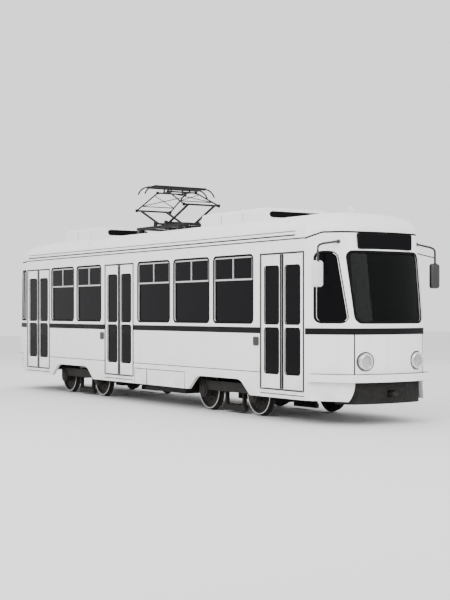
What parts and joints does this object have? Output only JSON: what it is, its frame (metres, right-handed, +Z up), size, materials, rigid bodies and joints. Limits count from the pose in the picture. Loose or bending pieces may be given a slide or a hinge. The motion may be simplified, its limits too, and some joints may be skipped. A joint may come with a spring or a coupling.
{
  "type": "tram",
  "caption": "Rail tram with a hollow saloon on swivelling bogies, outward-swinging double doors along one side, large side windows and a folding diamond pantograph on the roof.",
  "frame": {"origin": "under the middle of the car over its bumpers, at the lowest point of the wheel flanges", "axes": "+X forward, towards the windscreen; +Y to the left, away from the doors; +Z up"},
  "size_m": [11.95, 2.51, 4.0999],
  "materials": {
    "body_paint": "gloss",
    "black_paint": "satin",
    "bogie_iron": "matte",
    "wheel_steel": "satin",
    "floor_cover": "matte",
    "window_glass": "tinted",
    "window_frame": "satin",
    "seat_plastic": "matte",
    "pole_steel": "satin",
    "desk_plastic": "matte",
    "partition_panel": "matte",
    "blind_plastic": "satin",
    "lamp_cover": "gloss",
    "headlight_ring": "polished",
    "headlight_glass": "clear",
    "tail_lens": "gloss",
    "indicator_lens": "gloss",
    "sign_black": "gloss",
    "mirror_plastic": "satin"
  },
  "bodies": {
    "car_body": {"roof": "body_paint", "front_roof": "body_paint", "rear_roof": "body_paint", "right_wall": "body_paint", "left_wall": "body_paint", "nose": "body_paint", "tail": "body_paint", "floor": "floor_cover", "underframe": "black_paint", "step_treads": "floor_cover", "step_risers": "floor_cover", "step_ends": "floor_cover", "floor_panels": "floor_cover", "skirt_hatches": "body_paint", "bumpers": "body_paint", "front_valance": "black_paint", "couplers": "bogie_iron", "underfloor_box": "black_paint", "windscreen": "window_glass", "rear_window": "window_glass", "right_windows": "window_glass", "left_windows": "window_glass", "window_vents": "window_frame", "seats": "seat_plastic", "grab_poles": "pole_steel", "driver_desk": "desk_plastic", "cab_partition": "partition_panel", "sun_blind": "blind_plastic", "roof_boxes": "body_paint", "roof_lamp": "lamp_cover", "pantograph_base": "black_paint", "mirrors": "mirror_plastic", "headlights": "headlight_ring", "headlight_lenses": "headlight_glass", "tail_lights": "tail_lens", "side_indicators": "indicator_lens", "destination_sign": "sign_black"},
    "front_door_front_leaf": {"front_door_front_leaf": "body_paint", "front_door_front_glass": "window_glass"},
    "front_door_rear_leaf": {"front_door_rear_leaf": "body_paint", "front_door_rear_glass": "window_glass"},
    "middle_door_front_leaf": {"middle_door_front_leaf": "body_paint", "middle_door_front_glass": "window_glass"},
    "middle_door_rear_leaf": {"middle_door_rear_leaf": "body_paint", "middle_door_rear_glass": "window_glass"},
    "rear_door_front_leaf": {"rear_door_front_leaf": "body_paint", "rear_door_front_glass": "window_glass"},
    "rear_door_rear_leaf": {"rear_door_rear_leaf": "body_paint", "rear_door_rear_glass": "window_glass"},
    "front_bogie": {"front_bogie_frame": "bogie_iron"},
    "rear_bogie": {"rear_bogie_frame": "bogie_iron"},
    "wheelset_1": {"wheelset_1": "wheel_steel"},
    "wheelset_2": {"wheelset_2": "wheel_steel"},
    "wheelset_3": {"wheelset_3": "wheel_steel"},
    "wheelset_4": {"wheelset_4": "wheel_steel"},
    "front_lower_arms": {"front_lower_arms": "black_paint"},
    "rear_lower_arms": {"rear_lower_arms": "black_paint"},
    "front_upper_arms": {"front_upper_arms": "black_paint"},
    "rear_upper_arms": {"rear_upper_arms": "black_paint"},
    "collector_head": {"collector_head": "black_paint"}
  },
  "joints": [
    {"name": "front_bogie_swivel", "type": "hinge", "parent": "car_body", "child": "front_bogie", "pos_m": [2.75, 0, 0.55], "axis": [0, 0, 1], "range_deg": [-8, 8]},
    {"name": "rear_bogie_swivel", "type": "hinge", "parent": "car_body", "child": "rear_bogie", "pos_m": [-2.75, 0, 0.55], "axis": [0, 0, 1], "range_deg": [-8, 8]},
    {"name": "wheelset_1_axle", "type": "hinge", "parent": "front_bogie", "child": "wheelset_1", "pos_m": [3.5, 0, 0.352], "axis": [0, 1, 0], "continuous": true},
    {"name": "wheelset_2_axle", "type": "hinge", "parent": "front_bogie", "child": "wheelset_2", "pos_m": [2, 0, 0.352], "axis": [0, 1, 0], "continuous": true},
    {"name": "wheelset_3_axle", "type": "hinge", "parent": "rear_bogie", "child": "wheelset_3", "pos_m": [-2, 0, 0.352], "axis": [0, 1, 0], "continuous": true},
    {"name": "wheelset_4_axle", "type": "hinge", "parent": "rear_bogie", "child": "wheelset_4", "pos_m": [-3.5, 0, 0.352], "axis": [0, 1, 0], "continuous": true},
    {"name": "front_door_front_hinge", "type": "hinge", "parent": "car_body", "child": "front_door_front_leaf", "pos_m": [5.084, -1.076, 0.55], "axis": [0, 0, 1], "range_deg": [0, 85]},
    {"name": "front_door_rear_hinge", "type": "hinge", "parent": "car_body", "child": "front_door_rear_leaf", "pos_m": [4.036, -1.076, 0.55], "axis": [0, 0, -1], "range_deg": [0, 85]},
    {"name": "middle_door_front_hinge", "type": "hinge", "parent": "car_body", "child": "middle_door_front_leaf", "pos_m": [-0.206, -1.076, 0.55], "axis": [0, 0, 1], "range_deg": [0, 85]},
    {"name": "middle_door_rear_hinge", "type": "hinge", "parent": "car_body", "child": "middle_door_rear_leaf", "pos_m": [-1.254, -1.076, 0.55], "axis": [0, 0, -1], "range_deg": [0, 85]},
    {"name": "rear_door_front_hinge", "type": "hinge", "parent": "car_body", "child": "rear_door_front_leaf", "pos_m": [-3.881, -1.076, 0.55], "axis": [0, 0, 1], "range_deg": [0, 85]},
    {"name": "rear_door_rear_hinge", "type": "hinge", "parent": "car_body", "child": "rear_door_rear_leaf", "pos_m": [-4.929, -1.076, 0.55], "axis": [0, 0, -1], "range_deg": [0, 85]},
    {"name": "pantograph_lift", "type": "hinge", "parent": "car_body", "child": "front_lower_arms", "pos_m": [-0.22, 0, 3.395], "axis": [0, -1, 0], "range_deg": [-18, 36]},
    {"name": "rear_lower_pivot", "type": "hinge", "parent": "car_body", "child": "rear_lower_arms", "pos_m": [-0.62, 0, 3.395], "axis": [0, 1, 0], "range_deg": [-18, 36]},
    {"name": "front_knuckle", "type": "hinge", "parent": "front_lower_arms", "child": "front_upper_arms", "pos_m": [0.47958, 0, 3.69196], "axis": [0, 1, 0], "range_deg": [-36, 72]},
    {"name": "rear_knuckle", "type": "hinge", "parent": "rear_lower_arms", "child": "rear_upper_arms", "pos_m": [-1.31958, 0, 3.69196], "axis": [0, -1, 0], "range_deg": [-36, 72]},
    {"name": "collector_pivot", "type": "hinge", "parent": "front_upper_arms", "child": "collector_head", "pos_m": [-0.22, 0, 3.98891], "axis": [0, -1, 0], "range_deg": [-18, 36]}
  ],
  "couplings": [
    {"joint": "front_door_rear_hinge", "follows": "front_door_front_hinge", "ratio": 1},
    {"joint": "middle_door_rear_hinge", "follows": "middle_door_front_hinge", "ratio": 1},
    {"joint": "rear_door_rear_hinge", "follows": "rear_door_front_hinge", "ratio": 1},
    {"joint": "rear_lower_pivot", "follows": "pantograph_lift", "ratio": 1},
    {"joint": "front_knuckle", "follows": "pantograph_lift", "ratio": 2},
    {"joint": "rear_knuckle", "follows": "pantograph_lift", "ratio": 2},
    {"joint": "collector_pivot", "follows": "pantograph_lift", "ratio": 1}
  ]
}
